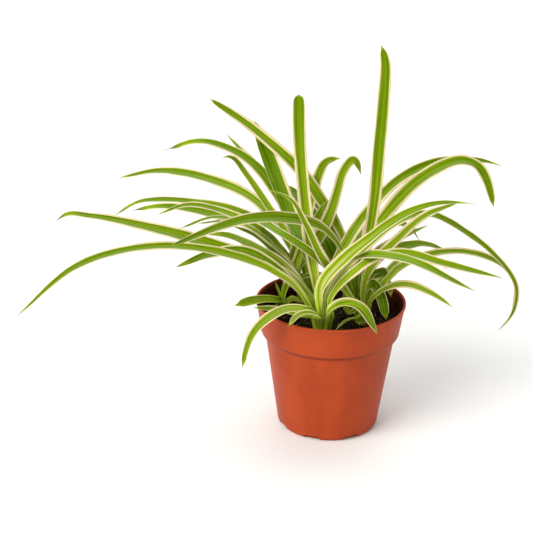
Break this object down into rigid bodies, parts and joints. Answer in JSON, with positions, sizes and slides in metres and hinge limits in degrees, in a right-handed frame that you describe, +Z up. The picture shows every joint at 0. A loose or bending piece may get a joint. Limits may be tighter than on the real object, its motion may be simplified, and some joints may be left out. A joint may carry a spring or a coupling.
{
  "type": "potted spider plant",
  "caption": "Potted spider plant: arching cream-edged strap leaves rising from pale crowns in dark potting soil, in a tapered terracotta-coloured plastic nursery pot with a rim band.",
  "frame": {"origin": "centre of the flat underside of the pot, on the surface that it stands on", "axes": "+Z up along the pot's axis, X along the plant's widest spread, -Y towards its fullest side"},
  "size_m": [0.3432, 0.197, 0.273],
  "materials": {
    "pot": "satin moulded plastic, terracotta colour",
    "soil": "moist, crumbly potting mix with fibres",
    "crown": "pale fleshy stem base",
    "leaf": "soft gloss, green with cream edges and fine lengthwise veins"
  },
  "bodies": {
    "root": {"pot": "pot", "soil": "soil", "crown_front": "crown", "crown_right": "crown", "crown_centre": "crown", "crown_back": "crown", "crown_left": "crown", "leaf_front_01": "leaf", "leaf_front_02": "leaf", "leaf_front_03": "leaf", "leaf_front_04": "leaf", "leaf_front_05": "leaf", "leaf_front_06": "leaf", "leaf_front_07": "leaf", "leaf_front_08": "leaf", "leaf_front_09": "leaf", "leaf_front_10": "leaf", "leaf_front_11": "leaf", "leaf_front_12": "leaf", "leaf_front_13": "leaf", "leaf_front_14": "leaf", "leaf_front_15": "leaf", "leaf_right_01": "leaf", "leaf_right_02": "leaf", "leaf_right_03": "leaf", "leaf_right_04": "leaf", "leaf_right_05": "leaf", "leaf_right_06": "leaf", "leaf_right_07": "leaf", "leaf_right_08": "leaf", "leaf_right_09": "leaf", "leaf_right_10": "leaf", "leaf_centre_01": "leaf", "leaf_centre_02": "leaf", "leaf_centre_03": "leaf", "leaf_centre_04": "leaf", "leaf_centre_05": "leaf", "leaf_centre_06": "leaf", "leaf_centre_07": "leaf", "leaf_centre_08": "leaf", "leaf_centre_09": "leaf", "leaf_centre_10": "leaf", "leaf_centre_11": "leaf", "leaf_centre_12": "leaf", "leaf_back_01": "leaf", "leaf_back_02": "leaf", "leaf_back_03": "leaf", "leaf_back_04": "leaf", "leaf_back_05": "leaf", "leaf_back_06": "leaf", "leaf_back_07": "leaf", "leaf_back_08": "leaf", "leaf_back_09": "leaf", "leaf_back_10": "leaf", "leaf_left_01": "leaf", "leaf_left_02": "leaf", "leaf_left_03": "leaf", "leaf_left_04": "leaf", "leaf_left_05": "leaf", "leaf_left_06": "leaf"}
  },
  "joints": []
}
